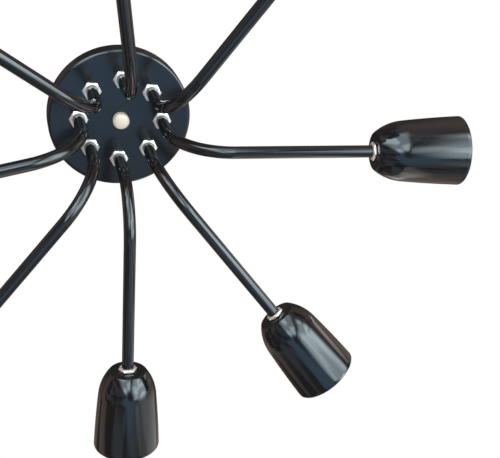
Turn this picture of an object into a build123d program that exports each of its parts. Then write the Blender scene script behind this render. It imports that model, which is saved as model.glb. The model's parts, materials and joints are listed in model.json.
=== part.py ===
"""Eight-arm sputnik chandelier: a shallow ceiling canopy, eight bent tubes and eight bell cups.

Frame: millimetres, +Z up. The origin is the middle of the canopy's open rim, on the ceiling, and
the lamp hangs below it. Arm 1 leaves along +X; the others follow, anticlockwise from above.
"""

import os
from math import cos, hypot, radians, sin, tan

from build123d import *

# ---- canopy: a pressed steel dish, open towards the ceiling ----
canopy_radius = 60.0
canopy_depth = 15.0
canopy_wall = 1.0
canopy_edge_radius = 2.5  # soft corner between the face and the side
arm_circle_radius = 35.0  # the arms stand on this circle

# ---- arms: one bent tube each, threaded at both ends ----
tube_radius = 5.0
tube_wall = 1.0
drop_length = 27.0  # straight stretch below the canopy's face
bend_radius = 50.0
reach_length = 115.5  # straight stretch from the bend to the cup's crown
inner_thread_length = 4.0  # tube that stands above the canopy's floor, inside the dish
outer_thread_length = 12.0  # tube that stands inside the cup
turning_clearance = 0.05  # radial room of a tube in its canopy hole
# One arm for each angle: its turn about its own hole at rest, from pointing straight out.
swing_angles = (-3.0, 3.0, -1.0, -6.0, -11.0, -10.5, -10.0, -13.0)
# How far each arm's outer stretch falls below the horizontal. Hand-bent, so they differ.
droop_angles = (5.0, 15.0, 7.0, 7.0, 7.0, 7.0, 7.0, 7.0)

# ---- thin hexagon nuts: above and below the canopy's face, and behind each cup ----
nut_across_flats = 14.0
nut_thickness = 3.0
nut_chamfer = 1.3  # how far down its corners the turned face reaches
nut_face_margin = 0.8  # the turned face's circle is this much inside the flats

# ---- bell cups: spun steel, open at the mouth ----
cup_length = 72.5
cup_wall = 1.0
crown_radius = 15.5  # flat crown round the neck, up to its shoulder
shoulder_radius = 2.0
belly_station = 22.5  # where the dome runs into the long flank
belly_radius = 25.0
belly_slope = 0.1  # rise of the outline there
mouth_radius = 28.6

# ---- lampholders: moulded bodies that screw on to the tubes and clamp the cups ----
holder_length = 48.0
holder_radius = 17.5
holder_neck_margin = 1.5  # the neck's seat is this much smaller than the crown's flat
holder_cap_length = 15.0  # tapered part, from the crown to the full radius
holder_thread_length = 8.0
holder_cavity_radius = 7.0
holder_floor_station = 17.0  # from the crown's inside to the insulating floor
holder_floor_thickness = 3.0
holder_lip = 0.8  # eased edge of the open end
socket_radius = 14.0  # bore that holds the screw shell
shell_wall = 0.6
shell_offset = 6.0  # from the insulating floor to the shell, clear of the centre contact
shell_length = 21.0
tongue_width = 5.0
tongue_thickness = 0.8
tongue_rise = 4.5
tongue_foot = 5.0

# ---- flexes: one through each tube ----
flex_radius = 2.3
cord_sides = 8  # flats of a cord's section, enough for cords that stay out of sight
flex_tail = 0.6  # how far a flex stands above the top of its tube

# ---- ceiling bracket: a flat bar with two slots, and an ear for the terminal block ----
bracket_end_gap = 3.0  # between the bar's ends and the canopy's wall
bracket_width = 20.0
bracket_thickness = 2.0
bracket_corner_radius = 4.0
slot_end_margin = 5.0
slot_length = 18.0
slot_width = 5.0

# ---- centre stud, its lock nut and the domed finial ----
stud_radius = 3.0
stud_clearance = 0.2
lock_nut_across_flats = 10.0
lock_nut_thickness = 4.0
finial_radius = 6.9
finial_foot = 4.5  # straight part below the canopy's face
finial_height = 7.5
finial_thread_depth = 5.0

# ---- terminal block under the ear ----
way_count = 2
way_pitch = 9.0
way_width = 8.0
block_gap = 1.0  # between the lock nut's corners and the block
block_depth = 15.0
block_height = 9.0
block_web_height = 4.5
barrel_radius = 2.2
barrel_bore_radius = 1.5
barrel_inset = 1.0  # the barrels end this far inside the block
terminal_screw_radius = 1.2
terminal_screw_spacing = 7.0
block_screw_radius = 1.3
block_screw_head_radius = 2.1
block_screw_head_height = 1.6

# ---- earth screw in the bracket ----
earth_station = 20.0
earth_screw_radius = 2.0
earth_head_radius = 3.6
earth_head_height = 2.4

# ---- sleeved wiring loom: a ring with a branch to each flex and two cores to the block ----
loom_cord_radius = 2.2
loom_gap = 0.8  # clear of the bracket above and of the block's corners
loom_elbow_share = 0.999  # part of the room under the ring that a branch's bend takes
core_radius = 1.1

os.makedirs("parts", exist_ok=True)

arm_count = len(swing_angles)
canopy_floor = canopy_wall - canopy_depth  # height of the dish's inside face
tube_top = canopy_floor + inner_thread_length
flex_top = tube_top + flex_tail
holder_floor = cup_wall + holder_floor_station
socket_floor = holder_floor + holder_floor_thickness
holder_end = cup_wall + holder_length
bracket_length = 2 * (canopy_radius - canopy_wall - bracket_end_gap)
bracket_underside = -bracket_thickness
slot_spacing = bracket_length - 2 * slot_end_margin - slot_length
block_width = way_count * way_pitch
block_front = lock_nut_across_flats / 2 / cos(radians(30)) + block_gap
block_back = block_front + block_depth
block_middle = (block_front + block_back) / 2
block_underside = bracket_underside - block_height
loom_height = bracket_underside - loom_gap - loom_cord_radius
barrel_height = loom_height  # the loom's cores run straight into the barrels
loom_radius = hypot(block_width / 2, block_back) + loom_gap + loom_cord_radius
loom_elbow_radius = (loom_height - flex_top) * loom_elbow_share


def save(part, name):
    """Label a finished piece and write it under its own name."""
    part.label = name
    export_step(part, f"parts/{name}.step")


def arm_plane(index):
    """The upright plane of one arm on its hole's axis: x outwards along the arm, y up."""
    station = radians(360 / arm_count * index)
    heading = station + radians(swing_angles[index])
    middle = (arm_circle_radius * cos(station), arm_circle_radius * sin(station), 0)
    outwards = (cos(heading), sin(heading), 0)
    return Plane(origin=middle, x_dir=outwards, z_dir=(sin(heading), -cos(heading), 0))


def path_corners(index, top, end):
    """The corners of an arm's centre line, from a height to a distance past the cup's crown."""
    fall = radians(droop_angles[index])
    bend_setback = bend_radius * tan((radians(90) - fall) / 2)
    corner = canopy_depth + drop_length + bend_setback
    outer_run = bend_setback + reach_length + end
    return (0, top), (0, -corner), (outer_run * cos(fall), -corner - outer_run * sin(fall))


def neck_plane(index):
    """The arm's plane moved to the middle of the cup's crown, with x along the tube."""
    plane = arm_plane(index)
    fall = radians(droop_angles[index])
    along = plane.x_dir * cos(fall) - plane.y_dir * sin(fall)
    crown = plane.from_local_coords(path_corners(index, 0, 0)[2])
    return Plane(origin=crown, x_dir=along, z_dir=plane.z_dir)


def across(plane, station):
    """The plane square to a neck plane's x, at a distance along it."""
    middle = plane.from_local_coords((station, 0))
    return Plane(origin=middle, x_dir=plane.z_dir, z_dir=plane.x_dir)


def arm_path(index, top, end):
    """The centre line of an arm, from a height to a distance past the cup's crown."""
    with BuildLine(arm_plane(index)) as path:
        FilletPolyline(*path_corners(index, top, end), radius=bend_radius)
    return path.line


def start_plane(path):
    """The plane square to a path at its start."""
    return Plane(origin=path @ 0, z_dir=path % 0)


def hexagon_nut(plane, across_flats, thickness, bore_radius):
    """One hexagon nut that stands on the plane, with the corners of its far face turned down."""
    corner_radius = across_flats / 2 / cos(radians(30))
    face_radius = across_flats / 2 - nut_face_margin
    far_face = plane.offset(thickness)
    with BuildPart() as blank:
        with BuildSketch(plane):
            Circle(corner_radius)
        extrude(amount=thickness)
        rim = blank.edges().filter_by(GeomType.CIRCLE).sort_by_distance(far_face.origin)[0]
        chamfer(rim, length=nut_chamfer, length2=corner_radius - face_radius)
    with BuildPart() as nut:
        with BuildSketch(plane):
            RegularPolygon(across_flats / 2, 6, major_radius=False)
            Circle(bore_radius, mode=Mode.SUBTRACT)
        extrude(amount=thickness)
        add(blank.part, mode=Mode.INTERSECT)
    return nut.part


def pan_screw(plane, shank_radius, shank_length, head_radius, head_height):
    """A screw whose shank leaves the plane along its normal, with the head behind it."""
    with BuildPart() as screw:
        with BuildSketch(plane):
            Circle(shank_radius)
        extrude(amount=shank_length)
        with BuildSketch(plane):
            Circle(head_radius)
        extrude(amount=-head_height)
        crown = screw.edges().filter_by(GeomType.CIRCLE).sort_by(Axis((0, 0, 0), tuple(plane.z_dir)))[0]
        chamfer(crown, head_height / 2)
    return screw.part


# ---- canopy ----
with BuildPart() as canopy:
    with BuildSketch(Plane.XY.offset(-canopy_depth)):
        Circle(canopy_radius)
    extrude(amount=canopy_depth)
    fillet(canopy.edges().filter_by(GeomType.CIRCLE).sort_by(Axis.Z)[0], canopy_edge_radius)
    offset(amount=-canopy_wall, openings=canopy.faces().sort_by(Axis.Z)[-1])
    with Locations((0, 0, -canopy_depth)):
        Hole(stud_radius + stud_clearance)
        with PolarLocations(arm_circle_radius, arm_count):
            Hole(tube_radius + turning_clearance)
save(canopy.part, "canopy")

# ---- ceiling bracket, centre stud, lock nut and finial ----
with BuildPart() as ceiling_bracket:
    with BuildSketch(Plane.XY.offset(bracket_underside)):
        RectangleRounded(bracket_length, bracket_width, bracket_corner_radius)
        with Locations((0, block_back / 2)):
            Rectangle(block_width, block_back)
        with GridLocations(slot_spacing, 0, 2, 1):
            SlotOverall(slot_length, slot_width, mode=Mode.SUBTRACT)
        Circle(stud_radius, mode=Mode.SUBTRACT)
        with Locations((0, block_middle)):
            Circle(block_screw_radius, mode=Mode.SUBTRACT)
        with Locations((-earth_station, 0)):
            Circle(earth_screw_radius, mode=Mode.SUBTRACT)
    extrude(amount=bracket_thickness)
save(ceiling_bracket.part, "ceiling_bracket")

with BuildPart() as centre_stud:
    with BuildSketch():
        Circle(stud_radius)
    extrude(amount=-canopy_depth - finial_thread_depth)
save(centre_stud.part, "centre_stud")

lock_nut_plane = Plane(origin=(0, 0, bracket_underside), z_dir=(0, 0, -1))
save(
    hexagon_nut(lock_nut_plane, lock_nut_across_flats, lock_nut_thickness, stud_radius),
    "stud_lock_nut",
)

with BuildPart() as finial:
    with BuildSketch(Plane.XZ):
        with BuildLine():
            foot_top = (finial_radius, -canopy_depth - finial_foot)
            Line((0, -canopy_depth), (finial_radius, -canopy_depth))
            Line((finial_radius, -canopy_depth), foot_top)
            EllipticalCenterArc(
                (0, foot_top[1]), finial_radius, finial_height - finial_foot, start_angle=-90, arc_size=90
            )
            Line((0, -canopy_depth - finial_height), (0, -canopy_depth))
        make_face()
    revolve(axis=Axis.Z)
    with BuildSketch(Plane.XY.offset(-canopy_depth)):
        Circle(stud_radius)
    extrude(amount=-finial_thread_depth, mode=Mode.SUBTRACT)
save(finial.part, "finial")

# ---- terminal block, its brass barrels and its screws ----
way_stations = GridLocations(way_pitch, 0, way_count, 1).local_locations
screw_stations = [
    (way.position.X, block_middle + side * terminal_screw_spacing / 2)
    for way in way_stations
    for side in (-1, 1)
]

with BuildPart() as terminal_block:
    with BuildSketch(Plane.XY.offset(bracket_underside)):
        with Locations((0, block_middle)):
            Rectangle(block_width - way_pitch + way_width, block_depth)
    extrude(amount=-block_web_height)
    with BuildSketch(Plane.XY.offset(bracket_underside)):
        with Locations((0, block_middle)):
            with GridLocations(way_pitch, 0, way_count, 1):
                Rectangle(way_width, block_depth)
    extrude(amount=-block_height)
    with BuildSketch(Plane.XZ.offset(-block_front)):
        with Locations((0, barrel_height)):
            with GridLocations(way_pitch, 0, way_count, 1):
                Circle(barrel_radius)
    extrude(amount=-block_depth, mode=Mode.SUBTRACT)
    with BuildSketch(Plane.XY.offset(block_underside)):
        with Locations(*screw_stations):
            Circle(terminal_screw_radius)
    extrude(amount=barrel_height - block_underside, mode=Mode.SUBTRACT)
    with BuildSketch(Plane.XY.offset(bracket_underside)):
        with Locations((0, block_middle)):
            Circle(block_screw_radius)
    extrude(amount=-block_web_height, mode=Mode.SUBTRACT)
    with BuildSketch(Plane.XY.offset(bracket_underside - block_web_height)):
        with Locations((0, block_middle)):
            Circle(block_screw_head_radius)
    extrude(amount=-block_height, mode=Mode.SUBTRACT)
save(terminal_block.part, "terminal_block")

with BuildPart() as terminal_barrels:
    with BuildSketch(Plane.XZ.offset(-block_front - barrel_inset)):
        with Locations((0, barrel_height)):
            with GridLocations(way_pitch, 0, way_count, 1):
                Circle(barrel_radius)
                Circle(barrel_bore_radius, mode=Mode.SUBTRACT)
    extrude(amount=-(block_depth - 2 * barrel_inset))
    with BuildSketch(Plane.XY.offset(block_underside)):
        with Locations(*screw_stations):
            Circle(terminal_screw_radius)
    extrude(amount=barrel_height - block_underside, mode=Mode.SUBTRACT)
save(terminal_barrels.part, "terminal_barrels")

with BuildPart() as terminal_screws:
    with BuildSketch(Plane.XY.offset(block_underside)):
        with Locations(*screw_stations):
            Circle(terminal_screw_radius)
    extrude(amount=barrel_height - core_radius - block_underside)
save(terminal_screws.part, "terminal_screws")

block_screw_plane = Plane.XY.offset(bracket_underside - block_web_height).move(Location((0, block_middle, 0)))
save(
    pan_screw(
        block_screw_plane,
        block_screw_radius,
        block_web_height + bracket_thickness,
        block_screw_head_radius,
        block_screw_head_height,
    ),
    "block_screw",
)

earth_plane = Plane.XY.offset(bracket_underside).move(Location((-earth_station, 0, 0)))
save(
    pan_screw(earth_plane, earth_screw_radius, bracket_thickness, earth_head_radius, earth_head_height),
    "earth_screw",
)

# ---- wiring loom ----
with BuildPart() as wiring_loom:
    with BuildSketch(Plane.YZ):
        with Locations((-loom_radius, loom_height)):
            RegularPolygon(loom_cord_radius, cord_sides)
    revolve(axis=Axis.Z)
    for index in range(arm_count):
        station = radians(360 / arm_count * index)
        outwards = (cos(station), sin(station), 0)
        sideways = (sin(station), -cos(station), 0)
        with BuildLine(Plane(origin=(0, 0, 0), x_dir=outwards, z_dir=sideways)) as branch:
            FilletPolyline(
                (arm_circle_radius, flex_top),
                (arm_circle_radius, loom_height),
                (loom_radius, loom_height),
                radius=loom_elbow_radius,
            )
        with BuildSketch(start_plane(branch.line)):
            RegularPolygon(loom_cord_radius, cord_sides)
        sweep(path=branch.line)
    for way in way_stations:
        with BuildSketch(Plane.XZ.offset(-block_middle)):
            with Locations((way.position.X, barrel_height)):
                Circle(core_radius)
        extrude(amount=-(loom_radius - block_middle))
save(wiring_loom.part, "wiring_loom")

# ---- the eight arms ----
for index in range(arm_count):
    number = index + 1
    neck = neck_plane(index)
    neck_axis = Axis(neck.origin, neck.x_dir)

    tube_path = arm_path(index, tube_top, outer_thread_length)
    with BuildPart() as arm_tube:
        with BuildSketch(start_plane(tube_path)):
            Circle(tube_radius)
            Circle(tube_radius - tube_wall, mode=Mode.SUBTRACT)
        sweep(path=tube_path)
    save(arm_tube.part, f"arm_tube_{number}")

    flex_path = arm_path(index, flex_top, holder_floor)
    with BuildPart() as arm_flex:
        with BuildSketch(start_plane(flex_path)):
            RegularPolygon(flex_radius, cord_sides)
        sweep(path=flex_path)
    save(arm_flex.part, f"arm_flex_{number}")

    hole = Plane(origin=arm_plane(index).origin, x_dir=arm_plane(index).x_dir)
    nuts = Compound(
        children=[
            hexagon_nut(hole.offset(canopy_floor), nut_across_flats, nut_thickness, tube_radius),
            hexagon_nut(hole.offset(-canopy_depth), nut_across_flats, -nut_thickness, tube_radius),
            hexagon_nut(across(neck, 0), nut_across_flats, -nut_thickness, tube_radius),
        ]
    )
    save(nuts, f"arm_nuts_{number}")

    with BuildPart() as cup:
        with BuildSketch(neck):
            with BuildLine():
                belly = (belly_station, belly_radius)
                Line((0, tube_radius), (0, crown_radius))
                dome = TangentArc(belly, (0, crown_radius), tangent=(-1, -belly_slope))
                crown_edge = neck.from_local_coords((0, crown_radius))
                fillet(dome.vertices().sort_by_distance(crown_edge)[0], shoulder_radius)
                TangentArc(belly, (cup_length, mouth_radius), tangent=(1, belly_slope))
                offset(amount=cup_wall, side=Side.RIGHT)
            make_face()
        revolve(axis=neck_axis)
    save(cup.part, f"cup_{number}")

    with BuildPart() as lampholder:
        with BuildSketch(neck):
            with BuildLine():
                Polyline(
                    (cup_wall, tube_radius),
                    (cup_wall, crown_radius - holder_neck_margin),
                    (cup_wall + holder_cap_length, holder_radius),
                    (holder_end - holder_lip, holder_radius),
                    (holder_end, holder_radius - holder_lip),
                    (holder_end, socket_radius),
                    (socket_floor, socket_radius),
                    (socket_floor, 0),
                    (holder_floor, 0),
                    (holder_floor, holder_cavity_radius),
                    (cup_wall + holder_thread_length, holder_cavity_radius),
                    (cup_wall + holder_thread_length, tube_radius),
                    close=True,
                )
            make_face()
        revolve(axis=neck_axis)
    save(lampholder.part, f"lampholder_{number}")

    with BuildPart() as contacts:
        with BuildSketch(across(neck, socket_floor + shell_offset)):
            Circle(socket_radius)
            Circle(socket_radius - shell_wall, mode=Mode.SUBTRACT)
        extrude(amount=shell_length)
        with BuildSketch(neck):
            with BuildLine():
                foot_station = socket_floor + tongue_thickness / 2
                Polyline(
                    (foot_station, -tongue_foot - tongue_rise / 2),
                    (foot_station, -tongue_rise / 2),
                    (foot_station + tongue_rise, tongue_rise / 2),
                )
            trace(line_width=tongue_thickness)
        extrude(amount=tongue_width / 2, both=True)
    save(contacts.part, f"socket_contacts_{number}")
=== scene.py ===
import json
from math import atan2, cos, hypot, pi, radians, sin, tan

import bmesh
import bpy
from mathutils import Matrix, Quaternion, Vector


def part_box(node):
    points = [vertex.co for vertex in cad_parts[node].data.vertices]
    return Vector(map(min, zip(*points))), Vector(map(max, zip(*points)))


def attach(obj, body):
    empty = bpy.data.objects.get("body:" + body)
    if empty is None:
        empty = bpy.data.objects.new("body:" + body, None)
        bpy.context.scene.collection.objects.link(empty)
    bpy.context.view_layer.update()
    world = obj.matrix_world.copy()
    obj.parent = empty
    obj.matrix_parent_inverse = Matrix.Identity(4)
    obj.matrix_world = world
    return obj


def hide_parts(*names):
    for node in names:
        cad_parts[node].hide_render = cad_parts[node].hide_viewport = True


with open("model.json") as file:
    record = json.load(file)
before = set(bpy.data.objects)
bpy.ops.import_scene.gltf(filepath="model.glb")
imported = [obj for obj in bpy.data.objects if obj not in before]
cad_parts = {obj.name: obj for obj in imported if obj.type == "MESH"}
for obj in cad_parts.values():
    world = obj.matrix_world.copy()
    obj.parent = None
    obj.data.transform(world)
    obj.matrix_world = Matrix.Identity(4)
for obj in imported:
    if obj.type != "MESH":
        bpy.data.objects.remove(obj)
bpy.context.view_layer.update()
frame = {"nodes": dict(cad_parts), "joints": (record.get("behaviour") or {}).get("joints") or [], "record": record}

mm = 0.001
up = Vector((0, 0, 1))
scene = bpy.context.scene
scene.view_settings.view_transform = "Standard"


# node expressions
class Wire:
    # one output of a node, so that node maths reads as plain expressions
    def __init__(self, sheet, out):
        self.sheet = sheet
        self.out = out

    def other(self, name):
        return Wire(self.sheet, self.out.node.outputs[name])

    def maths(self, operation, *values):
        return self.sheet.add("ShaderNodeMath", {"operation": operation}, *values)

    def __add__(self, value):
        return self.maths("ADD", self, value)

    __radd__ = __add__

    def __sub__(self, value):
        return self.maths("SUBTRACT", self, value)

    def __rsub__(self, value):
        return self.maths("SUBTRACT", value, self)

    def __mul__(self, value):
        return self.maths("MULTIPLY", self, value)

    __rmul__ = __mul__

    def __truediv__(self, value):
        return self.maths("DIVIDE", self, value)

    def __rtruediv__(self, value):
        return self.maths("DIVIDE", value, self)


class Sheet:
    # a node tree that grows by one call for each node
    def __init__(self, tree):
        self.tree = tree
        tree.nodes.clear()

    def add(self, kind, settings=None, *values, **named):
        node = self.tree.nodes.new(kind)
        for key, value in (settings or {}).items():
            setattr(node, key, value)
        pairs = list(zip(node.inputs, values))
        pairs += [(node.inputs[key.replace("_", " ")], value) for key, value in named.items()]
        for socket, value in pairs:
            if isinstance(value, Wire):
                self.tree.links.new(value.out, socket)
            elif value is not None:
                socket.default_value = value
        return Wire(self, node.outputs[0]) if node.outputs else node

    def mix(self, share, first, second):
        # a blend of two colours; the share is a wire or a number
        node = self.tree.nodes.new("ShaderNodeMix")
        node.data_type = "RGBA"
        for socket, value in zip((node.inputs[0], node.inputs[6], node.inputs[7]), (share, first, second)):
            if isinstance(value, Wire):
                self.tree.links.new(value.out, socket)
            else:
                socket.default_value = value if isinstance(value, (int, float)) else (*value, 1)
        return Wire(self, node.outputs[2])

    def step(self, value, low, high):
        # 0 below low, 1 above high and a soft rise between
        return self.add("ShaderNodeMapRange", {"interpolation_type": "SMOOTHSTEP"}, value, low, high, 0, 1)

    def inside(self, value, low, high, soft):
        return self.step(value, low - soft, low) * (1 - self.step(value, high, high + soft))

    def noise(self, where, scale, detail=2.0, rough=0.5, stretch=None):
        if stretch:
            where = self.add("ShaderNodeMapping", None, where, None, None, stretch)
        return self.add("ShaderNodeTexNoise", None, where, Scale=scale, Detail=detail, Roughness=rough)

    def here(self):
        # the point on the object itself
        return self.add("ShaderNodeTexCoord").other("Object")

    def bump(self, height):
        return self.add("ShaderNodeBump", None, Strength=1.0, Distance=1.0, Height=height)

    def principled(self, **inputs):
        shader = self.add("ShaderNodeBsdfPrincipled", None, **inputs)
        self.add("ShaderNodeOutputMaterial", None, shader)


def newSheet(name):
    material = bpy.data.materials.new(name)
    material.use_nodes = True
    return material, Sheet(material.node_tree)


# camera
cameraLook = {
    "eye": (-0.1003, -0.2444, -0.6714),
    "aim": (0.1153, 0.0889, -0.0500),  # what the middle of the picture looks at
    "roll": -29.94,
    "lens": 59.16,
    "sensor": 36.0,
}


def makeCamera(look):
    data = bpy.data.cameras.new("camera")
    data.lens = look["lens"]
    data.sensor_width = look["sensor"]
    camera = bpy.data.objects.new("camera", data)
    scene.collection.objects.link(camera)
    camera.location = look["eye"]
    sight = Vector(look["aim"]) - Vector(look["eye"])
    camera.rotation_mode = "QUATERNION"
    camera.rotation_quaternion = sight.to_track_quat("-Z", "Y") @ Quaternion((0, 0, 1), radians(look["roll"]))
    scene.camera = camera


makeCamera(cameraLook)
print("camera: lens", cameraLook["lens"])


# stage: white surroundings, a pale floor, soft lamps and the room that gloss shows
stageLook = {
    "floorHeight": -2.4,  # a room's height below the ceiling
    "floorSize": 14.0,
    "floorColour": (0.86, 0.86, 0.85),
    "floorShade": 0.97,  # its duller patches
    "floorPatches": 3.0,
    "floorRoughness": 0.7,
    "ambient": 0.5,  # how strongly the white surroundings light dull faces
    "lamps": {
        # where each stands, its size, its power in watts and its colour
        "windowLamp": ((-0.5, -1.5, -1.7), 1.3, 36, (0.98, 0.98, 1.0)),
        "roomLamp": ((1.6, 0.7, -1.6), 1.5, 16, (1.0, 0.97, 0.93)),
        "topLamp": ((-0.7, -0.9, 1.9), 1.6, 22, (1.0, 1.0, 1.0)),
    },
}

roomLook = {
    "radius": 2.2,
    "bands": 24,
    "steps": 48,
    # what the gloss shows below, at the sides, round the horizon and above the lamp
    "low": (0.44, 0.82, 1.25),
    "side": (0.36, 0.44, 0.47),
    "horizon": (0.60, 0.45, 0.38),
    "high": (0.13, 0.10, 0.085),
    # heights in degrees where each gives way to the next
    "sideHeights": (-72, -56),
    "horizonHeights": (-28, -4),
    "highHeights": (18, 55),
    # furniture and curtains: upright patches, where their noise turns dark and where it dims the windows
    "patches": 1.1,
    "patchStretch": (1.0, 1.0, 0.5),
    "patchDetail": 2.5,
    "patchColour": (0.05, 0.045, 0.04),
    "darkFrom": (0.54, 0.40),
    "clearFrom": (0.40, 0.58),
    "glowThrough": 0.45,  # what of a bright place shows through a patch
    # each bright place: bearings and heights in degrees, soft edge, colour and strength
    "places": [
        ((4, 42), (-58, 12), 9, (0.90, 0.95, 0.96), 1.3),
        ((-58, -4), (-62, -24), 16, (0.76, 0.93, 1.0), 10.5),
        ((-132, -88), (-62, -6), 14, (0.76, 0.93, 1.0), 8.0),
        ((67, 79), (-50, 20), 4, (1.0, 0.95, 0.88), 2.4),
        ((-13, -7), (0, 30), 2, (1.0, 0.95, 0.88), 2.8),
    ],
}


def floorMaterial(look):
    material, sheet = newSheet("paleFloor")
    cloud = sheet.noise(sheet.here(), look["floorPatches"])
    shade = tuple(c * look["floorShade"] for c in look["floorColour"])
    sheet.principled(
        Base_Color=sheet.mix(cloud, shade, look["floorColour"]), Roughness=look["floorRoughness"],
    )
    return material


def roomMaterial(look):
    # a dim room with windows, for glossy rays alone
    material, sheet = newSheet("room")
    where = sheet.here()
    axes = sheet.add("ShaderNodeSeparateXYZ", None, where)
    east, north, height = axes, axes.other("Y"), axes.other("Z")
    bearing = north.maths("ARCTAN2", north, east) * (180 / pi)
    rise = height.maths("ARCSINE", height / look["radius"]) * (180 / pi)
    light = look["low"]
    for part in ("side", "horizon", "high"):
        light = sheet.mix(sheet.step(rise, *look[part + "Heights"]), light, look[part])
    patches = sheet.noise(where, look["patches"], look["patchDetail"], stretch=look["patchStretch"])
    light = sheet.mix(sheet.step(patches, *look["darkFrom"]), light, look["patchColour"])
    through = look["glowThrough"]
    for bearings, heights, soft, colour, strength in look["places"]:
        glow = sheet.inside(bearing, *bearings, soft) * sheet.inside(rise, *heights, soft)
        glow = glow * (through + (1 - through) * sheet.step(patches, *look["clearFrom"]))
        light = sheet.mix(glow, light, tuple(strength * c for c in colour))
    shader = sheet.add("ShaderNodeEmission", None, light, 1.0)
    sheet.add("ShaderNodeOutputMaterial", None, shader)
    return material


def makeWorld(look):
    world = bpy.data.worlds.new("surroundings")
    world.use_nodes = True
    scene.world = world
    sheet = Sheet(world.node_tree)
    rays = sheet.add("ShaderNodeLightPath")
    seen = rays.other("Is Camera Ray") + rays.other("Is Glossy Ray") + rays.other("Is Transmission Ray")
    strength = look["ambient"] + (1 - look["ambient"]) * seen.maths("MINIMUM", seen, 1.0)
    shader = sheet.add("ShaderNodeBackground", None, (1, 1, 1, 1), strength)
    sheet.add("ShaderNodeOutputWorld", None, shader)


def meshPiece(name, points, faces):
    mesh = bpy.data.meshes.new(name)
    mesh.from_pydata(points, [], faces)
    mesh.validate()
    piece = bpy.data.objects.new(name, mesh)
    scene.collection.objects.link(piece)
    return piece


def makeStage(look, room):
    half = look["floorSize"] / 2
    level = look["floorHeight"]
    corners = [(-half, -half, level), (half, -half, level), (half, half, level), (-half, half, level)]
    floor = meshPiece("floor", corners, [(0, 1, 2, 3)])
    floor.data.materials.append(floorMaterial(look))
    radius, turns = room["radius"], [pi * k / room["bands"] for k in range(1, room["bands"])]
    outline = [(-radius, 0)] + [(-radius * cos(t), radius * sin(t)) for t in turns] + [(radius, 0)]
    dome = turned("room", outline, Matrix.Rotation(-pi / 2, 4, "Y"), room["steps"], closed=False)
    dome.data.materials.append(roomMaterial(room))
    for ray in ("camera", "diffuse", "transmission", "volume_scatter", "shadow"):
        setattr(dome, "visible_" + ray, False)
    for name, (place, size, watts, colour) in look["lamps"].items():
        data = bpy.data.lights.new(name, "AREA")
        data.size = size
        data.energy = watts
        data.color = colour
        lamp = bpy.data.objects.new(name, data)
        scene.collection.objects.link(lamp)
        lamp.location = place
        lamp.rotation_euler = (-Vector(place)).to_track_quat("-Z", "Y").to_euler()
        lamp.visible_glossy = False
        lamp.visible_camera = False


# shapes: turned pieces and node trees
def turned(name, outline, place, steps=96, closed=True, sharp=35):
    # spins (along, out) points round the place's X axis
    points, rings = [], []
    for along, out in outline:
        if out < 1e-7:
            rings.append([len(points)])
            points.append(place @ Vector((along, 0, 0)))
            continue
        rings.append([len(points) + k for k in range(steps)])
        for k in range(steps):
            angle = 2 * pi * k / steps
            points.append(place @ Vector((along, out * cos(angle), out * sin(angle))))
    lengths = [0.0]
    for (a, b), (c, d) in zip(outline, outline[1:] + outline[:1]):
        lengths.append(lengths[-1] + hypot(c - a, d - b))
    faces, spots = [], []
    count = len(outline)
    for i in range(count if closed else count - 1):
        near, far = rings[i], rings[(i + 1) % count]
        for k in range(steps):
            quad = [(near, k, lengths[i]), (near, k + 1, lengths[i])]
            quad += [(far, k + 1, lengths[i + 1]), (far, k, lengths[i + 1])]
            if len(near) == 1:
                quad = [quad[0], quad[2], quad[3]]
            elif len(far) == 1:
                quad = quad[:3]
            faces.append([ring[step % len(ring)] for ring, step, _ in quad])
            spots += [(step / steps, length) for _, step, length in quad]
    piece = meshPiece(name, points, faces)
    layer = piece.data.uv_layers.new(name="lay")
    for item, spot in zip(layer.data, spots):
        item.uv = spot
    faceOut(piece)
    smooth(piece, sharp)
    return piece


def faceOut(piece):
    # a closed piece's faces point away from its inside
    shape = bmesh.new()
    shape.from_mesh(piece.data)
    if shape.calc_volume(signed=True) < 0:
        bmesh.ops.reverse_faces(shape, faces=shape.faces)
        shape.to_mesh(piece.data)
    shape.free()


def smooth(piece, sharp):
    piece.data.shade_smooth()
    piece.data.set_sharp_from_angle(angle=radians(sharp))


def arc(middle, radius, start, end, steps):
    # points of a round corner, angles in degrees
    turns = [radians(start + (end - start) * k / steps) for k in range(steps + 1)]
    return [(middle[0] + radius * cos(t), middle[1] + radius * sin(t)) for t in turns]


def scaled(outline):
    return [(a * mm, b * mm) for a, b in outline]


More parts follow.
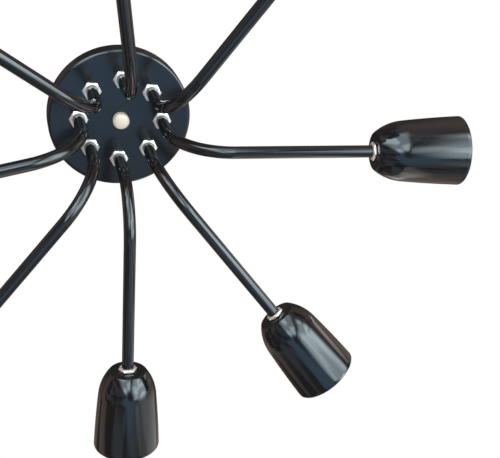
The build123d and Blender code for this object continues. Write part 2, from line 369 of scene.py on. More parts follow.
class Recipe(Sheet):
    # a geometry node tree with named inputs, run once to make one plain mesh
    kinds = {
        "length": "NodeSocketFloat", "share": "NodeSocketFloat", "count": "NodeSocketInt",
        "switch": "NodeSocketBool", "finish": "NodeSocketMaterial",
    }

    def __init__(self, name, **inputs):
        tree = bpy.data.node_groups.new(name, "GeometryNodeTree")
        super().__init__(tree)
        tree.interface.new_socket("Geometry", in_out="INPUT", socket_type="NodeSocketGeometry")
        for key, kind in inputs.items():
            tree.interface.new_socket(key, in_out="INPUT", socket_type=self.kinds[kind])
        tree.interface.new_socket("Geometry", in_out="OUTPUT", socket_type="NodeSocketGeometry")
        self.entry = self.add("NodeGroupInput")

    def given(self, key):
        return self.entry.other(key)

    def capture(self, geometry, value):
        # keeps a value on the geometry, past what comes next
        held = self.add("GeometryNodeCaptureAttribute", None, geometry)
        node = held.out.node
        node.capture_items.new("FLOAT", "value")
        self.tree.links.new(value.out, node.inputs[1])
        return held, Wire(self, node.outputs[1])

    def layOut(self, geometry, across, along):
        lay = self.add("ShaderNodeCombineXYZ", None, across, along, 0.0)
        return self.add(
            "GeometryNodeStoreNamedAttribute", {"data_type": "FLOAT2", "domain": "CORNER"},
            Geometry=geometry, Name="lay", Value=lay,
        )

    def serve(self, geometry):
        geometry = self.add("GeometryNodeRealizeInstances", None, geometry)
        geometry = self.add("GeometryNodeSetMaterial", None, geometry, None, self.given("finish"))
        self.add("NodeGroupOutput", None, geometry)

    def make(self, name, base, **inputs):
        holder = bpy.data.objects.new(name + "Base", base)
        scene.collection.objects.link(holder)
        maker = holder.modifiers.new("maker", "NODES")
        maker.node_group = self.tree
        for item in self.tree.interface.items_tree:
            if item.in_out == "INPUT" and item.name in inputs:
                maker[item.identifier] = inputs[item.name]
        piece = bpy.data.objects.new(name, meshOf(holder))
        bpy.data.objects.remove(holder)
        scene.collection.objects.link(piece)
        return piece


def meshOf(thing):
    # a plain mesh of an object with its modifiers
    deps = bpy.context.evaluated_depsgraph_get()
    made = thing.evaluated_get(deps)
    return bpy.data.meshes.new_from_object(made, preserve_all_data_layers=True, depsgraph=deps)


def bake(piece):
    # a piece's modifiers become its mesh
    mesh = meshOf(piece)
    piece.modifiers.clear()
    piece.data = mesh


def rounded(piece, width, angle=25):
    edge = piece.modifiers.new("edge", "BEVEL")
    edge.width = width
    edge.segments = 2
    edge.limit_method = "ANGLE"
    edge.angle_limit = radians(angle)
    bake(piece)
    smooth(piece, 30)


def thickened(piece, width):
    # a wall inwards from the surface
    wall = piece.modifiers.new("wall", "SOLIDIFY")
    wall.thickness = width
    wall.offset = -1
    bake(piece)


def cutBy(piece, tool):
    # the tool's space is taken out of the piece
    cut = piece.modifiers.new("cut", "BOOLEAN")
    cut.object = tool
    cut.solver = "EXACT"
    bake(piece)
    bpy.data.objects.remove(tool)


def plate(name, outline, height, place):
    # a flat outline in the place's XZ plane, made thick along its Y
    count = len(outline)
    points = [place @ Vector((a, side * height / 2, b)) for side in (-1, 1) for a, b in outline]
    faces = [tuple(range(count)), tuple(range(2 * count - 1, count - 1, -1))]
    faces += [(k, k + count, (k + 1) % count + count, (k + 1) % count) for k in range(count)]
    piece = meshPiece(name, points, faces)
    faceOut(piece)
    return piece


def softCopy(name, nodeName, edge):
    # a CAD solid with its triangles joined and its edges rounded
    node = frame["nodes"][nodeName]
    mesh = node.data.copy()
    mesh.transform(node.matrix_world)
    shape = bmesh.new()
    shape.from_mesh(mesh)
    bmesh.ops.remove_doubles(shape, verts=shape.verts, dist=mm / 1000)
    bmesh.ops.dissolve_limit(shape, angle_limit=radians(1), verts=shape.verts, edges=shape.edges)
    shape.to_mesh(mesh)
    shape.free()
    piece = bpy.data.objects.new(name, mesh)
    scene.collection.objects.link(piece)
    rounded(piece, edge)
    return piece


def pathCurve(name, corners, closed=False):
    curve = bpy.data.curves.new(name, "CURVE")
    curve.dimensions = "3D"
    spline = curve.splines.new("POLY")
    spline.use_cyclic_u = closed
    spline.points.add(len(corners) - 1)
    for point, corner in zip(spline.points, corners):
        point.co = (*corner, 1)
    return curve


def spotMesh(name, spots):
    # points, each with the direction that its copy faces
    mesh = bpy.data.meshes.new(name)
    mesh.from_pydata([spot for spot, _ in spots], [], [])
    facing = mesh.attributes.new("facing", "FLOAT_VECTOR", "POINT")
    for item, (_, way) in zip(facing.data, spots):
        item.vector = way
    return mesh


def tubeRecipe():
    # a round tube or cord along a path of corners, bent at one radius
    recipe = Recipe(
        "bentTube", bend="length", radius="length", sides="count", bendSteps="count", solid="switch",
        finish="finish",
    )
    path = recipe.add(
        "GeometryNodeFilletCurve", {"mode": "POLY"},
        Curve=recipe.entry, Count=recipe.given("bendSteps"), Radius=recipe.given("bend"), Limit_Radius=True,
    )
    ring = recipe.add(
        "GeometryNodeCurvePrimitiveCircle", None,
        Resolution=recipe.given("sides"), Radius=recipe.given("radius"),
    )
    path, run = recipe.capture(path, recipe.add("GeometryNodeSplineParameter").other("Length"))
    ring, turn = recipe.capture(ring, recipe.add("GeometryNodeSplineParameter"))
    tube = recipe.add("GeometryNodeCurveToMesh", None, path, ring, Fill_Caps=recipe.given("solid"))
    recipe.serve(recipe.layOut(tube, turn, run))
    return recipe


# a cut thread; a rolled one is a full wave
threadLook = {
    "rolled": 0.2,
    "rowsPerTurn": 10,
    "runOut": 0.7,  # the part of a turn in which a thread starts and ends
}


def threadRecipe(runOut):
    # a helical thread: a grid wrapped round Z and cut back between its crests; closed is 1 or 0 for its ends
    recipe = Recipe(
        "thread", radius="length", depth="length", pitch="length", length="length", rolled="share",
        closed="count", sides="count", rows="count", finish="finish",
    )
    rows, closed, length = recipe.given("rows"), recipe.given("closed"), recipe.given("length")
    pitch = recipe.given("pitch")
    grid = recipe.add("GeometryNodeMeshGrid", None, 1.0, 1.0, rows, recipe.given("sides"))
    axes = recipe.add("ShaderNodeSeparateXYZ", None, recipe.add("GeometryNodeInputPosition"))
    row = (axes + 0.5) * (rows - 1)
    turn = axes.other("Y") + 0.5
    # with closed ends the first and last rows shrink to the middle of an end face
    share = (row - closed) / (rows - 1 - 2 * closed)
    share = share.maths("MAXIMUM", share.maths("MINIMUM", share, 1.0), 0.0)
    height = share * length
    away = axes.maths("ABSOLUTE", axes)
    shrunk = closed * away.maths("GREATER_THAN", away, 0.5 - 0.5 / (rows - 1))
    phase = height / pitch - turn
    phase = phase.maths("FRACT", phase)
    sharp = phase.maths("ABSOLUTE", phase * 2 - 1)
    soft = 0.5 + 0.5 * phase.maths("COSINE", phase * (2 * pi))
    wave = sharp + recipe.given("rolled") * (soft - sharp)
    # the thread runs out towards both ends
    ends = height.maths("MINIMUM", height, length - height) / (pitch * runOut)
    wave = wave * ends.maths("MINIMUM", ends, 1.0)
    out = (recipe.given("radius") - recipe.given("depth") * wave) * (1 - shrunk)
    angle = turn * (2 * pi)
    spot = recipe.add(
        "ShaderNodeCombineXYZ", None,
        out * angle.maths("COSINE", angle), out * angle.maths("SINE", angle), height,
    )
    grid, turn = recipe.capture(grid, turn)
    grid, height = recipe.capture(grid, height)
    grid = recipe.add("GeometryNodeSetPosition", None, Geometry=grid, Position=spot)
    grid = recipe.layOut(grid, turn, height)
    grid = recipe.add("GeometryNodeMergeByDistance", None, Geometry=grid, Distance=mm / 1000)
    grid = recipe.add("GeometryNodeFlipFaces", None, grid)
    recipe.serve(copiesAt(recipe, grid))
    return recipe


def copiesAt(recipe, shape):
    # the shape, made along Z, stands at every point of the base and faces its way
    facing = recipe.add("GeometryNodeInputNamedAttribute", {"data_type": "FLOAT_VECTOR"}, "facing")
    turn = recipe.add("FunctionNodeAlignRotationToVector", {"axis": "Z"}, None, None, facing)
    return recipe.add(
        "GeometryNodeInstanceOnPoints", None, Points=recipe.entry, Instance=shape, Rotation=turn,
    )


def nutRecipe(steps=72):
    # a hexagon bar cut off, turned down at the corners of both faces and bored
    recipe = Recipe(
        "hexagonNut", acrossFlats="length", thickness="length", bore="length",
        chamfer="length", margin="length", finish="finish",
    )
    flats = recipe.given("acrossFlats") / 2
    corner = flats / cos(pi / 6)
    thickness = recipe.given("thickness")
    shape = recipe.add("GeometryNodeMeshCylinder", None, 6, 1, 1, corner, thickness)
    # two cones trim the corners; each face's circle is the margin inside the flats
    face = flats - recipe.given("margin")
    reach = thickness * 2
    foot = face + reach * (corner - face) / recipe.given("chamfer")
    for turn in (0, pi):
        cone = recipe.add("GeometryNodeMeshCone", None, steps, 1, 1, face, foot, reach)
        lower = recipe.add("ShaderNodeCombineXYZ", None, 0.0, 0.0, thickness / 2 - reach)
        cone = recipe.add("GeometryNodeTransform", None, Geometry=cone, Translation=lower)
        cone = recipe.add("GeometryNodeTransform", None, Geometry=cone, Rotation=(turn, 0, 0))
        shape = recipe.add(
            "GeometryNodeMeshBoolean", {"operation": "INTERSECT", "solver": "EXACT"}, None, shape,
        )
        recipe.tree.links.new(cone.out, shape.out.node.inputs["Mesh 2"])
    hole = recipe.add("GeometryNodeMeshCylinder", None, steps, 1, 1, recipe.given("bore"), thickness * 2)
    shape = recipe.add("GeometryNodeMeshBoolean", {"operation": "DIFFERENCE", "solver": "EXACT"}, shape)
    recipe.tree.links.new(hole.out, shape.out.node.inputs["Mesh 2"])
    lift = recipe.add("ShaderNodeCombineXYZ", None, 0.0, 0.0, thickness / 2)
    shape = recipe.add("GeometryNodeTransform", None, Geometry=shape, Translation=lift)
    recipe.serve(copiesAt(recipe, shape))
    return recipe


# finishes
paintLook = {
    "black": (0.008, 0.010, 0.014),
    "warm": (0.013, 0.011, 0.010),
    "clouds": 22.0,
    "roughness": 0.08,
    "smudge": 0.12,  # extra roughness where hands have wiped it
    "wipes": 60.0,
    "wipeStretch": (1, 1, 3),
    "wiped": (0.5, 0.8),
    "peelSize": 1.7 * mm,
    "peelDepth": 0.002 * mm,
    "waveSize": 14 * mm,
    "waveDepth": 0.012 * mm,
    "ringSize": 5 * mm,  # rings that spinning leaves round the cups
    "ringDepth": 0.010 * mm,
    "markAt": 7.2 * mm,  # a fine line round the crown, this far along the outline
    "markWidth": 0.35 * mm,
    "markDepth": 0.03 * mm,
}


def glossPaint(name, look, spun):
    # stoved gloss paint: orange peel, a little waviness, handling marks and, on spun pieces, rings
    material, sheet = newSheet(name)
    where = sheet.here()
    cloud = sheet.noise(where, look["clouds"], detail=4.0)
    wipes = sheet.noise(where, look["wipes"], detail=6.0, rough=0.62, stretch=look["wipeStretch"])
    peel = sheet.noise(where, 1 / look["peelSize"])
    wave = sheet.noise(where, 1 / look["waveSize"])
    height = peel * look["peelDepth"] + wave * look["waveDepth"]
    if spun:
        lay = sheet.add("ShaderNodeSeparateXYZ", None, sheet.add("ShaderNodeUVMap", {"uv_map": "lay"}))
        along = lay.other("Y")
        line = sheet.add("ShaderNodeCombineXYZ", None, 0.0, 0.0, along)
        rings = sheet.noise(line, 1 / look["ringSize"], detail=3.0)
        mark = sheet.inside(along, look["markAt"], look["markAt"] + look["markWidth"], look["markWidth"])
        height = height + rings * look["ringDepth"] - mark * look["markDepth"]
    sheet.principled(
        Base_Color=sheet.mix(cloud, look["black"], look["warm"]),
        Roughness=look["roughness"] + look["smudge"] * sheet.step(wipes, *look["wiped"]),
        Normal=sheet.bump(height),
    )
    return material


# what every metal shares: its dull patches' scale, where they turn dull, where they turn rough and by how
# much, and how far its grain is drawn out
patinaLook = {
    "clouds": 260.0, "dulled": (0.35, 0.75), "roughened": (0.45, 0.8), "extra": 0.18, "drawn": (1, 1, 6),
}
metalLook = {
    "nickel": {
        "colour": (0.98, 0.90, 0.82), "dull": (0.84, 0.76, 0.69), "metallic": 0.7,
        "roughness": 0.30, "grain": 900, "depth": 0.002 * mm,
    },
    "satin": {
        "colour": (0.86, 0.78, 0.65), "dull": (0.74, 0.67, 0.56), "metallic": 0.1,
        "roughness": 0.50, "grain": 700, "depth": 0.002 * mm,
    },
    "zinc": {
        "colour": (0.66, 0.68, 0.69), "dull": (0.46, 0.46, 0.44), "metallic": 1.0,
        "roughness": 0.38, "grain": 500, "depth": 0.004 * mm,
    },
    "brass": {
        "colour": (0.80, 0.60, 0.28), "dull": (0.52, 0.37, 0.17), "metallic": 1.0,
        "roughness": 0.28, "grain": 700, "depth": 0.002 * mm,
    },
}


def metal(name, look):
    # plated or rolled metal with fine grain and duller patches
    material, sheet = newSheet(name)
    where = sheet.here()
    cloud = sheet.noise(where, patinaLook["clouds"], detail=5.0, rough=0.6)
    grain = sheet.noise(where, look["grain"], detail=3.0, stretch=patinaLook["drawn"])
    sheet.principled(
        Base_Color=sheet.mix(sheet.step(cloud, *patinaLook["dulled"]), look["colour"], look["dull"]),
        Metallic=look["metallic"],
        Roughness=look["roughness"] + patinaLook["extra"] * sheet.step(cloud, *patinaLook["roughened"]),
        Normal=sheet.bump(grain * look["depth"]),
    )
    return material


# what every moulded piece shares: the scale of its shades, where they change and their rougher patches
shadeLook = {"clouds": 120.0, "shaded": (0.4, 0.7), "extra": 0.1}
mouldedLook = {
    "nylon": {
        "colour": (0.80, 0.79, 0.75), "shade": (0.70, 0.69, 0.64),
        "roughness": 0.45, "coat": 0.0, "grain": 1500, "depth": 0.004 * mm,
    },
    "porcelain": {
        "colour": (0.86, 0.85, 0.81), "shade": (0.78, 0.76, 0.70),
        "roughness": 0.20, "coat": 0.6, "grain": 420, "depth": 0.006 * mm,
    },
    "sheath": {
        "colour": (0.76, 0.76, 0.73), "shade": (0.66, 0.66, 0.62),
        "roughness": 0.5, "coat": 0.0, "grain": 1200, "depth": 0.004 * mm,
    },
}


def moulded(name, look):
    # nylon, porcelain or a cord's sheath, slightly uneven in colour and surface
    material, sheet = newSheet(name)
    where = sheet.here()
    cloud = sheet.noise(where, shadeLook["clouds"], detail=4.0)
    grain = sheet.noise(where, look["grain"])
    sheet.principled(
        Base_Color=sheet.mix(sheet.step(cloud, *shadeLook["shaded"]), look["colour"], look["shade"]),
        Roughness=look["roughness"] + shadeLook["extra"] * cloud,
        Coat_Weight=look["coat"],
        Normal=sheet.bump(grain * look["depth"]),
    )
    return material


sleeveLook = {
    "thread": (0.46, 0.46, 0.47),
    # painted shade: the colour drawn in the valleys between strands, darker than the strands themselves
    "paintedGapShade": (0.12, 0.12, 0.13),
    "turns": 8,  # strands each way round the sleeve
    "pitch": 9 * mm,  # a strand goes once round in this length
    "depth": 0.08 * mm,
    "fuzz": 2500.0,
    "fuzzShare": 0.5,  # of it in the colour
    "fuzzRelief": 0.4,  # and in the surface
    "raised": (0.1, 0.7),  # from the painted shade in the gap between two strands to the top of one
    "roughness": 0.78,
}


def wovenSleeve(name, look):
    # a braid: strands that wind both ways and pass over and under each other; its colour darkens from the strand
    # tops into the valleys between them, which is painted shade
    material, sheet = newSheet(name)
    lay = sheet.add("ShaderNodeSeparateXYZ", None, sheet.add("ShaderNodeUVMap", {"uv_map": "lay"}))
    turn = lay * look["turns"]
    run = lay.other("Y") * (look["turns"] / look["pitch"])
    right, left = turn + run, turn - run
    over = right.maths("SINE", right * (2 * pi))
    under = left.maths("SINE", left * (2 * pi))
    strand = over.maths("MAXIMUM", over, under)
    fuzz = sheet.noise(sheet.here(), look["fuzz"], detail=3.0)
    # painted shade: the low parts of the braid get the dark colour, the strand tops the thread colour
    raised = sheet.step(strand + look["fuzzShare"] * fuzz, *look["raised"])
    sheet.principled(
        Base_Color=sheet.mix(raised, look["paintedGapShade"], look["thread"]),
        Roughness=look["roughness"],
        Normal=sheet.bump((strand + look["fuzzRelief"] * fuzz) * look["depth"]),
    )
    return material


finishes = {
    "black_gloss_paint": glossPaint("blackGlossPaint", paintLook, spun=False),
    "bright_nickel": metal("brightNickel", metalLook["nickel"]),
    "pale_nickel": metal("paleNickel", metalLook["satin"]),
    "zinc_plate": metal("zincPlate", metalLook["zinc"]),
    "brass": metal("rolledBrass", metalLook["brass"]),
    "white_nylon": moulded("whiteNylon", mouldedLook["nylon"]),
    "white_porcelain": moulded("whitePorcelain", mouldedLook["porcelain"]),
    "grey_sleeve": wovenSleeve("greySleeve", sleeveLook),
    "flex_sheath": moulded("flexSheath", mouldedLook["sheath"]),
}
# the same paint on the spun cups, which are wavier, and on the pressed canopy, which is less smooth
spunPaint = glossPaint("spunBlackPaint", {**paintLook, "waveDepth": 0.035 * mm}, spun=True)
pressedPaint = glossPaint("pressedBlackPaint", {**paintLook, "roughness": 0.16}, spun=False)
slotOf = {part["node"]: part["material_slot"] for part in frame["record"]["subparts"]}
for nodeName, node in frame["nodes"].items():
    node.data.materials.clear()
    node.data.materials.append(finishes[slotOf[nodeName]])
print("finishes:", len(finishes) + 2)


def settle(piece, body, node, slot=None, finish=None):
    # a finished piece rides on its body and stands for its CAD node
    slot = slot or slotOf[node]
    piece.data.materials.clear()
    piece.data.materials.append(finish or finishes[slot])
    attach(piece, body)
    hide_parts(node)


makeWorld(stageLook)
makeStage(stageLook, roomLook)
print("stage: floor, room and", len(stageLook["lamps"]), "lamps")


# where the arms are
armSize = {
    "drop": 27 * mm,
    "bend": 50 * mm,
    "reach": 115.5 * mm,
    "threadInside": 5 * mm,  # from the canopy's face to the tube's top
    "threadOutside": 12 * mm,
    "pitch": 1 * mm,
    "depth": 0.5 * mm,
    "radius": 5 * mm,
    "wall": 1 * mm,
    "sides": 48,
    "bendSteps": 40,
}


def placeArms(size):
    # each arm's hole, corner, neck and directions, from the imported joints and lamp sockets
    mounts = {mount["name"]: mount for mount in frame["record"]["mounts"]}
    arms = []
    for joint in frame["joints"]:
        number = joint["name"].rsplit("_", 1)[1]
        along = Vector(mounts["lamp_socket_" + number]["axis"]).normalized()
        out = Vector((along.x, along.y, 0)).normalized()
        fall = atan2(-along.z, hypot(along.x, along.y))
        hole = Vector(joint["pos_m"])
        setback = size["bend"] * tan((pi / 2 - fall) / 2)
        corner = hole - up * (size["drop"] + setback)
        neck = corner + along * (setback + size["reach"])
        side = up.cross(out).normalized()
        turn = Matrix((along, side, along.cross(side))).transposed().to_4x4()
        arms.append({
            "number": number, "body": joint["child"], "hole": hole, "corner": corner, "neck": neck,
            "along": along, "place": Matrix.Translation(neck) @ turn,
        })
    return arms


arms = placeArms(armSize)
tubes = tubeRecipe()
nuts = nutRecipe()
threads = threadRecipe(threadLook["runOut"])


def makeThread(name, spot, way, size, slot, closed=1):
    # a thread from a spot along a way; its size may have a look of its own
    size = {**threadLook, **size}
    return threads.make(
        name, spotMesh("threadSpot", [(spot, way)]),
        radius=size["radius"], depth=size["depth"], pitch=size["pitch"], length=size["length"],
        rolled=size["rolled"], closed=closed, sides=size["sides"], finish=finishes[slot],
        rows=round(size["length"] / size["pitch"] * size["rowsPerTurn"]) + 1 + 2 * closed,
    )


def makeBent(name, corners, size, slot, solid=True, closed=False):
    # a tube or cord through its corners
    bent = tubes.make(
        name, pathCurve("path", corners, closed), bend=0.0 if closed else size["bend"],
        radius=size["radius"], sides=size["sides"], bendSteps=size["bendSteps"], solid=solid,
        finish=finishes[slot],
    )
    smooth(bent, 35)
    return bent


def hanging(x=0.0, y=0.0, z=0.0):
    # a place whose X axis points down
    return Matrix.Translation((x, y, z)) @ Matrix.Rotation(pi / 2, 4, "Y")


# canopy
canopySize = {
    "radius": 60 * mm,
    "depth": 15 * mm,
    "wall": 1 * mm,
    "edge": 2.5 * mm,
    "studHole": 3.2 * mm,
    "armHole": 5.05 * mm,
    "rings": (1 / 3, 3 / 4),  # where the flat face is divided, as shares of the radius
    "steps": 160,
}


def makeCanopy(size):
    # measured down from the rim: the outside from the middle of the face to the rim, then back inside
    radius, depth, wall, edge = size["radius"], size["depth"], size["wall"], size["edge"]
    lip = wall / 2
    rings = [0, *(radius * share for share in size["rings"]), radius - edge - wall]
    outline = [(depth, out) for out in rings]
    outline += arc((depth - edge, radius - edge), edge, 0, 90, 10)
    outline += [(depth - edge - wall, radius), (3 * wall, radius)]
    outline += arc((lip, radius - lip), lip, 90, 270, 9)
    outline += [(3 * wall, radius - wall), (depth - edge - wall, radius - wall)]
    outline += arc((depth - edge, radius - edge), edge - wall, 90, 0, 8)
    outline += [(depth - wall, out) for out in reversed(rings)]
    canopy = turned("canopyDish", outline, hanging(), size["steps"], closed=False)
    cuts = [(Vector((0, 0, -depth)), size["studHole"])] + [(arm["hole"], size["armHole"]) for arm in arms]
    for middle, bore in cuts:
        outline = [(3 * wall, 0), (3 * wall, bore), (-3 * wall, bore), (-3 * wall, 0)]
        cutBy(canopy, turned("plug", outline, hanging(*middle), steps=48, closed=False))
    smooth(canopy, 35)
    settle(canopy, "ceiling_mount", "canopy", finish=pressedPaint)


makeCanopy(canopySize)
print("canopy")


# middle: stud, lock nut and finial
studSize = {"radius": 3 * mm, "length": 20 * mm, "pitch": 1 * mm, "depth": 0.5 * mm, "sides": 40}
bracketThickness = 2 * mm
nutEdge = 0.15 * mm
lockNutSize = {
    "acrossFlats": 10 * mm, "thickness": 4 * mm, "bore": 3.02 * mm, "chamfer": 1.3 * mm, "margin": 0.8 * mm,
}
finialSize = {
    "radius": 6.9 * mm,
    "foot": 4.5 * mm,
    "height": 7.5 * mm,
    "softEdge": 0.5 * mm,
    "bore": 3.05 * mm,
    "boreDepth": 5 * mm,
    "domeSteps": 15,
    "steps": 96,
}


def makeStud(size):
    stud = makeThread("studThread", (0, 0, -size["length"]), up, size, "zinc_plate")
    smooth(stud, 50)
    settle(stud, "ceiling_mount", "centre_stud")


def makeNutPiece(name, spots, size, body, node):
    piece = nuts.make(name, spotMesh("nutSpots", spots), finish=finishes[slotOf[node]], **size)
    rounded(piece, nutEdge)
    settle(piece, body, node)


def makeFinial(size):
    radius, foot, soft, bore = size["radius"], size["foot"], size["softEdge"], size["bore"]
    rise = size["height"] - foot
    turns = [pi / 2 * (k + 1) / size["domeSteps"] for k in range(size["domeSteps"])]
    outline = [(size["height"], 0)] + [(foot + rise * cos(t), radius * sin(t)) for t in turns]
    outline += arc((soft, radius - soft), soft, 90, 180, 5)
    outline += [(0, bore), (size["boreDepth"], bore), (size["boreDepth"], 0)]
    finial = turned("finialCap", outline, hanging(z=-canopySize["depth"]), size["steps"], closed=False)
    settle(finial, "ceiling_mount", "finial")


makeStud(studSize)
lockNutSpots = [((0, 0, -bracketThickness), -up)]
makeNutPiece("studLockNut", lockNutSpots, lockNutSize, "ceiling_mount", "stud_lock_nut")
makeFinial(finialSize)
print("stud, lock nut and finial")


# ceiling bracket, terminal block and their screws

# pieces that keep their CAD shape, each with its node and the width of its rounded edges
blockEdges = [
    ("ceilingBar", "ceiling_bracket", 0.35 * mm),
    ("terminalBody", "terminal_block", 0.5 * mm),
    ("terminalSleeves", "terminal_barrels", 0.15 * mm),
]
# radii of heads and shanks; a shank's length counts from the face that the head sits on
screwSize = {
    "block_screw": {
        "head": 2.1 * mm, "headHeight": 1.6 * mm,
        "radius": 1.3 * mm, "length": 6.5 * mm, "pitch": 0.5 * mm, "depth": 0.25 * mm, "sides": 32,
    },
    "earth_screw": {
        "head": 3.6 * mm, "headHeight": 2.4 * mm,
        "radius": 2.0 * mm, "length": 2.0 * mm, "pitch": 0.7 * mm, "depth": 0.35 * mm, "sides": 32,
    },
}
# the slot's shares of the head's diameter and height, its soft edge's share of the height, its foot's edge
headShape = {"slotWidth": 0.22, "slotDepth": 0.45, "soft": 0.45, "foot": 0.1 * mm}
grubSize = {"radius": 1.2 * mm, "soft": 0.2 * mm, "slotWidth": 0.5 * mm, "slotDepth": 0.9 * mm}


def slotTool(middle, radius, width, depth):
    # the space of a screwdriver's slot, open downwards from the middle
    outline = [(-depth, -width / 2), (-depth, width / 2), (depth, width / 2), (depth, -width / 2)]
    return plate("slotTool", outline, 3 * radius, hanging(*middle))


def nodeBox(nodeName):
    low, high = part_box(nodeName)
    return Vector(low), Vector(high)


def panScrew(nodeName, size):
    low, high = nodeBox(nodeName)
    middle = (low + high) / 2
    head, height = size["head"], size["headHeight"]
    seat, soft, foot = low.z + height, height * headShape["soft"], headShape["foot"]
    outline = [(height, 0)] + arc((height - soft, head - soft), soft, 0, 90, 6)
    outline += [(foot, head), (0, head - foot), (0, 0)]
    top = turned("screwHead", outline, hanging(middle.x, middle.y, seat), steps=48, closed=False)
    width, depth = 2 * head * headShape["slotWidth"], height * headShape["slotDepth"]
    cutBy(top, slotTool((middle.x, middle.y, low.z), head, width, depth))
    smooth(top, 30)
    settle(top, "ceiling_mount", nodeName)
    shank = makeThread("screwThread", (middle.x, middle.y, seat), up, size, slotOf[nodeName])
    smooth(shank, 50)
    settle(shank, "ceiling_mount", nodeName)


def terminalScrews(size):
    # four grub screws under the ways, slotted at their lower ends
    low, high = nodeBox("terminal_screws")
    radius, soft, length = size["radius"], size["soft"], high.z - low.z
    outline = [(length, 0), (length, radius - soft), (length - soft, radius)]
    outline += [(soft, radius), (0, radius - soft), (0, 0)]
    for x in (low.x + radius, high.x - radius):
        for y in (low.y + radius, high.y - radius):
            screw = turned("grubScrew", outline, hanging(x, y, high.z), steps=32, closed=False)
            cutBy(screw, slotTool((x, y, low.z), radius, size["slotWidth"], size["slotDepth"]))
            smooth(screw, 30)
            settle(screw, "ceiling_mount", "terminal_screws")


for name, nodeName, edge in blockEdges:
    settle(softCopy(name, nodeName, edge), "ceiling_mount", nodeName)
for nodeName, size in screwSize.items():
    panScrew(nodeName, size)
terminalScrews(grubSize)
print("bracket, terminal block and screws")


# wiring loom
loomSize = {
    "ringRadius": 26.57 * mm,
    "cord": 2.15 * mm,
    "core": 1.1 * mm,
    "height": -5.0 * mm,
    "branchFoot": -9.4 * mm,  # where a branch meets the flex of its arm
    "bend": 4.3 * mm,
    "coreEnd": 14.3 * mm,
    "coreStep": 4.5 * mm,
    "ringSteps": 96,
    "sides": 24,
    "bendSteps": 10,
}


def makeLoom(size):
    ring, height = size["ringRadius"], size["height"]
    turns = [2 * pi * k / size["ringSteps"] for k in range(size["ringSteps"])]
    circle = [(ring * cos(t), ring * sin(t), height) for t in turns]
    # each cord's corners, radius and finish; the ring closes on itself
    cords = [(circle, size["cord"], "grey_sleeve")]
    for arm in arms:
        x, y, _ = arm["hole"]
        share = ring / hypot(x, y)
        corners = [(x, y, size["branchFoot"]), (x, y, height), (x * share, y * share, height)]
        cords.append((corners, size["cord"], "grey_sleeve"))
    for x in (-size["coreStep"], size["coreStep"]):
        cords.append(([(x, ring, height), (x, size["coreEnd"], height)], size["core"], "flex_sheath"))
    for corners, radius, slot in cords:
        cord = makeBent("loomCord", corners, {**size, "radius": radius}, slot, closed=corners is circle)
        settle(cord, "ceiling_mount", "wiring_loom", slot)


makeLoom(loomSize)
print("wiring loom")


# arms: bent tubes, their flexes and nuts
flexSize = {
    "radius": 2.25 * mm,
    "bend": armSize["bend"],
    "tail": 0.5 * mm,  # above its tube's top
    "end": 17.9 * mm,  # past the cup's crown
    "sides": 20,
    "bendSteps": 20,
}
nutSize = {
    "acrossFlats": 14 * mm, "thickness": 3 * mm, "bore": 5.02 * mm, "chamfer": 1.3 * mm, "margin": 0.8 * mm,
}


def makeTube(arm, size):
    # the painted tube up to the canopy's face, and its bare threaded top inside
    end = arm["neck"] + arm["along"] * size["threadOutside"]
    corners = [arm["hole"], arm["corner"], end]
    tube = makeBent("bentTube" + arm["number"], corners, size, "black_gloss_paint", solid=False)
    topSize = {**size, "length": size["threadInside"]}
    top = makeThread("tubeThread" + arm["number"], arm["hole"], up, topSize, "zinc_plate", closed=0)
    for piece, slot in ((tube, "black_gloss_paint"), (top, "zinc_plate")):
        thickened(piece, size["wall"])
        smooth(piece, 35)
        settle(piece, arm["body"], "arm_tube_" + arm["number"], slot)


def makeFlex(arm, size):
    top = arm["hole"] + up * (armSize["threadInside"] + size["tail"])
    end = arm["neck"] + arm["along"] * size["end"]
    flex = makeBent("armFlex" + arm["number"], [top, arm["corner"], end], size, "flex_sheath")
    settle(flex, arm["body"], "arm_flex_" + arm["number"])


# bell cups
cupSize = {
    # in millimetres, measured from the crown along the tube
    "length": 72.5,
    "wall": 1.0,
    "neck": 5.0,
    "crown": 15.5,
    "shoulder": 2.0,
    "belly": (22.5, 25),
    "slope": 0.1,  # how fast the flank opens at the belly
    "mouth": 28.6,
    "shoulderSteps": 6,
    "domeSteps": 26,
    "flankSteps": 14,
    "lipSteps": 8,
    "steps": 128,
}


def tangentCircle(start, end, way):
    # the middle of the circle that leaves start along way and passes through end
    chord = Vector(end) - Vector(start)
    side = Vector((-way[1], way[0])).normalized()
    return Vector(start) + side * chord.length_squared / (2 * chord.dot(side))


def bearingFrom(middle, spot):
    return atan2(spot[1] - middle[1], spot[0] - middle[0]) * 180 / pi


def bow(middle, start, end, steps):
    # an arc round the middle from one spot towards another
    radius = hypot(start[0] - middle[0], start[1] - middle[1])
    return arc(middle, radius, bearingFrom(middle, start), bearingFrom(middle, end), steps)


def insideOf(outline, wall):
    # the outline moved square to itself by the wall, to its right
    moved = []
    for k, (a, b) in enumerate(outline):
        before, after = outline[max(k - 1, 0)], outline[min(k + 1, len(outline) - 1)]
        run = Vector((after[0] - before[0], after[1] - before[1])).normalized()
        moved.append((a + run.y * wall, b - run.x * wall))
    return moved


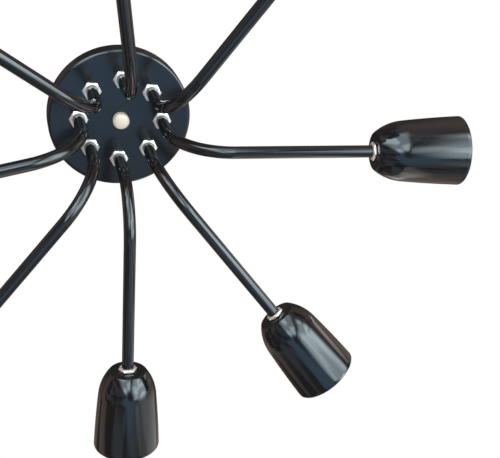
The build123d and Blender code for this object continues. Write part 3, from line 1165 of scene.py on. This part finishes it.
def makeCup(arm, size):
    # a flat crown, a tight shoulder, a dome to the belly and a long flank to the mouth
    belly, wall, shoulder = size["belly"], size["wall"], size["shoulder"]
    crown, mouth = (0, size["crown"]), (size["length"], size["mouth"])
    middle = tangentCircle(belly, crown, (-1, -size["slope"]))
    swing = hypot(belly[0] - middle.x, belly[1] - middle.y) - shoulder
    turn = Vector((shoulder, middle.y + (swing ** 2 - (shoulder - middle.x) ** 2) ** 0.5))
    meet = turn + (turn - middle).normalized() * shoulder
    outer = [(0, size["neck"])]
    outer += bow(turn, turn - Vector((shoulder, 0)), meet, size["shoulderSteps"])[:-1]
    outer += bow(middle, meet, belly, size["domeSteps"])
    flank = tangentCircle(belly, mouth, (1, size["slope"]))
    outer += bow(flank, belly, mouth, size["flankSteps"])[1:]
    inner = insideOf(outer, wall)
    lip = ((outer[-1][0] + inner[-1][0]) / 2 - wall / 2, (outer[-1][1] + inner[-1][1]) / 2)
    outer = [spot for spot in outer if spot[0] < lip[0]]
    inner = [spot for spot in inner if spot[0] < lip[0]]
    outline = outer + arc(lip, wall / 2, 90, -90, size["lipSteps"]) + inner[::-1]
    cup = turned("bellCup" + arm["number"], scaled(outline), arm["place"], size["steps"])
    settle(cup, arm["body"], "cup_" + arm["number"], finish=spunPaint)


# lampholders and their brass contacts
holderSize = {
    # stations along the tube from the cup's crown, and radii, in millimetres
    "seat": 1.0,
    "neck": 14.0,
    "bore": 5.05,
    "boreEnd": 9.0,
    "cavity": 7.0,
    "cavityEnd": 18.0,
    "floor": 21.0,
    "socket": 14.0,
    "capEnd": 16.0,
    "body": 17.5,
    "end": 49.0,
    "soft": 0.8,
    "chamfer": 0.4,
    "groove": 0.7,
    "grooveDepth": 0.56,
    "grooves": (18.5, 42.0),
    "steps": 96,
}
shellSize = {
    "start": 27.0 * mm,
    "length": 21.0 * mm,
    "radius": 13.95 * mm,
    "wall": 0.45 * mm,
    "depth": 1.1 * mm,
    "pitch": 3.6 * mm,
    "rolled": 1.0,
    "rowsPerTurn": 12,
    "sides": 64,
}
tongueSize = {
    "thickness": 0.8,
    "width": 5.0,
    "edge": 0.15,
    "foot": 5.0,
    "rise": 4.5,
    # spots on its middle line, as steps from where a straight slope at 45 degrees would bend
    "heel": ((0, -1.0), (0.4, 0.3)),
    "tip": ((-0.7, -0.8), (-0.2, 0.0393)),
    "rivet": 1.3,
    "rivetHeight": 0.7,
    "rivetDepth": 0.2,
    "rivetAt": 0.6,  # share of the foot's length, from the heel
}


def makeHolder(arm, size):
    # from the middle of the socket's floor out over its mouth, back along the body and into the neck
    soft, body, groove, chamfer = size["soft"], size["body"], size["groove"], size["chamfer"]
    outline = [(size["floor"], 0), (size["floor"], size["socket"] - soft)]
    outline += arc((size["floor"] + soft, size["socket"] - soft), soft, 180, 90, 4)
    outline += [(size["end"] - chamfer, size["socket"]), (size["end"], size["socket"] + chamfer)]
    outline += arc((size["end"] - soft, body - soft), soft, 0, 90, 5)
    for station in reversed(size["grooves"]):
        outline += [(station + groove, body)]
        outline += arc((station, body), size["grooveDepth"], 0, -180, 6)
        outline += [(station - groove, body)]
    outline += arc((size["capEnd"] + soft, body - soft), soft, 90, 110, 3)
    outline += [(size["seat"] + soft, size["neck"]), (size["seat"], size["neck"] - soft)]
    outline += [(size["seat"], size["bore"]), (size["boreEnd"], size["bore"])]
    outline += [(size["boreEnd"], size["cavity"]), (size["cavityEnd"], size["cavity"])]
    outline += [(size["cavityEnd"], 0)]
    name = "lampholder" + arm["number"]
    holder = turned(name, scaled(outline), arm["place"], size["steps"], closed=False)
    settle(holder, arm["body"], "lampholder_" + arm["number"])


def makeShell(arm, size):
    # the rolled brass shell that the lamp screws into
    start = arm["neck"] + arm["along"] * size["start"]
    shell = makeThread("screwShell" + arm["number"], start, arm["along"], size, "brass", closed=0)
    thickened(shell, size["wall"])
    smooth(shell, 60)
    settle(shell, arm["body"], "socket_contacts_" + arm["number"])


def makeTongue(arm, size, floor):
    # a springy tongue: a flat foot, then a bend up to the middle of the lamp's cap
    half, rise = size["thickness"] / 2, size["rise"]
    base = floor + half
    path = [(base, -size["foot"] - rise / 2)]
    path += [(base + lift, over - rise / 2) for lift, over in size["heel"]]
    path += [(base + rise + lift, over + rise / 2) for lift, over in size["tip"]]
    outline = insideOf(path, half) + insideOf(path, -half)[::-1]
    name = "centreTongue" + arm["number"]
    tongue = plate(name, scaled(outline), size["width"] * mm, arm["place"])
    rounded(tongue, size["edge"] * mm)
    settle(tongue, arm["body"], "socket_contacts_" + arm["number"])


def makeRivet(arm, size, floor):
    # the rivet that holds the tongue's foot
    head, height = size["rivet"], size["rivetHeight"]
    base = floor + size["thickness"]
    dome = [(base + height * cos(radians(k)), head * sin(radians(k))) for k in range(0, 91, 15)]
    dome += [(base - size["rivetDepth"], head), (base - size["rivetDepth"], 0)]
    away = (size["foot"] * size["rivetAt"] + size["rise"] / 2) * mm
    spot = arm["place"] @ Matrix.Translation((0, 0, -away))
    rivet = turned("rivetHead" + arm["number"], scaled(dome), spot, steps=24, closed=False)
    settle(rivet, arm["body"], "socket_contacts_" + arm["number"])


for arm in arms:
    makeTube(arm, armSize)
    makeFlex(arm, flexSize)
    floor = arm["hole"] + up * canopySize["wall"]
    spots = [(floor, up), (arm["hole"], -up), (arm["neck"], -arm["along"])]
    makeNutPiece("armNuts" + arm["number"], spots, nutSize, arm["body"], "arm_nuts_" + arm["number"])
    makeCup(arm, cupSize)
    makeHolder(arm, holderSize)
    makeShell(arm, shellSize)
    makeTongue(arm, tongueSize, holderSize["floor"])
    makeRivet(arm, tongueSize, holderSize["floor"])
print("arms:", len(arms), "tubes, flexes, cups, lampholders and sets of nuts and contacts")
